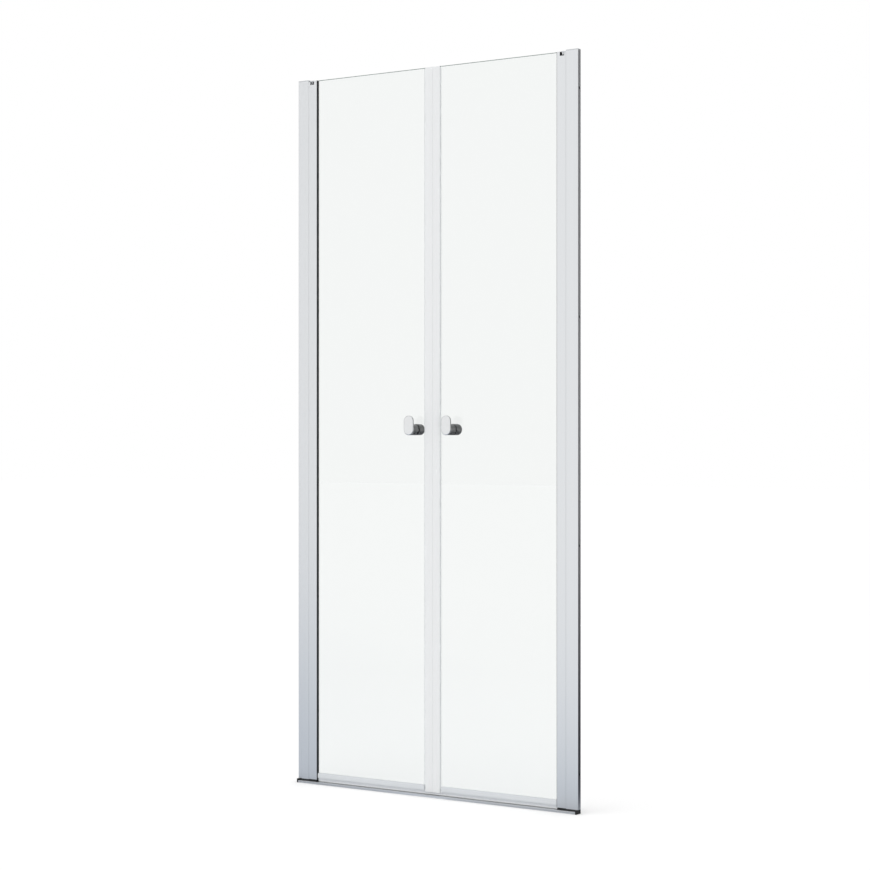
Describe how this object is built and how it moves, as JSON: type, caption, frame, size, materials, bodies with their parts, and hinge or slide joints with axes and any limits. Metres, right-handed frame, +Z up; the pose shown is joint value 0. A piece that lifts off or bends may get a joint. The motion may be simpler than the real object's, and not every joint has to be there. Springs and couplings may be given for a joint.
{
  "type": "pivot shower door",
  "caption": "Niche shower door with clear glass leaves that swing both ways on full-height hinge profiles and meet in the middle over a low threshold.",
  "frame": {"origin": "on the underside of the threshold, midway between the walls and below the middle of the glass", "axes": "+X to the right seen from the room, -Y out of the shower towards the room, +Z up"},
  "size_m": [0.9, 0.065, 1.95],
  "materials": {
    "silver_aluminium": "bright silver anodised",
    "cast_zinc": "silver painted casting",
    "steel": "plain stainless",
    "chrome": "polished",
    "clear_glass": "clear toughened",
    "clear_seal": "soft translucent vinyl",
    "black_plastic": "moulded, fine grain",
    "grey_plastic": "moulded, silver grey",
    "black_rubber": "soft matt",
    "magnet": "plastic-bonded magnet strip"
  },
  "bodies": {
    "frame": {"threshold_rail": "silver_aluminium", "threshold_end_cap_l": "black_plastic", "threshold_end_cap_r": "black_plastic", "wall_profile_l": "silver_aluminium", "wall_profile_r": "silver_aluminium", "hinge_post_l": "silver_aluminium", "hinge_post_r": "silver_aluminium", "hinge_lip_seal_l": "black_rubber", "hinge_lip_seal_r": "black_rubber", "top_cap_l": "grey_plastic", "top_cap_r": "grey_plastic", "adjuster_screws_l": "steel", "adjuster_screws_r": "steel", "pivot_foot_l": "black_plastic", "pivot_foot_r": "black_plastic", "foot_screws_l": "steel", "foot_screws_r": "steel", "lower_pivot_pin_l": "steel", "lower_pivot_pin_r": "steel", "upper_knuckle_l": "cast_zinc", "upper_knuckle_r": "cast_zinc", "knuckle_screws_l": "steel", "knuckle_screws_r": "steel", "upper_bush_l": "black_plastic", "upper_bush_r": "black_plastic"},
    "left_leaf": {"glass_l": "clear_glass", "leaf_profile_l": "silver_aluminium", "glazing_gasket_l": "black_rubber", "upper_pivot_pin_l": "steel", "pin_set_screw_l": "steel", "lower_bush_l": "black_plastic", "closing_seal_l": "clear_seal", "magnet_strip_l": "magnet", "bottom_seal_l": "clear_seal", "knob_tab_l": "chrome", "knob_sleeve_l": "chrome", "knob_rear_l": "chrome", "knob_stud_l": "steel", "knob_washers_l": "black_rubber"},
    "right_leaf": {"glass_r": "clear_glass", "leaf_profile_r": "silver_aluminium", "glazing_gasket_r": "black_rubber", "upper_pivot_pin_r": "steel", "pin_set_screw_r": "steel", "lower_bush_r": "black_plastic", "closing_seal_r": "clear_seal", "magnet_strip_r": "magnet", "bottom_seal_r": "clear_seal", "knob_tab_r": "chrome", "knob_sleeve_r": "chrome", "knob_rear_r": "chrome", "knob_stud_r": "steel", "knob_washers_r": "black_rubber"}
  },
  "joints": [
    {"name": "left_leaf_swing", "type": "hinge", "parent": "frame", "child": "left_leaf", "pos_m": [-0.402, 0, 0], "axis": [0, 0, -1], "range_deg": [-90, 90]},
    {"name": "right_leaf_swing", "type": "hinge", "parent": "frame", "child": "right_leaf", "pos_m": [0.402, 0, 0], "axis": [0, 0, 1], "range_deg": [-90, 90]}
  ]
}
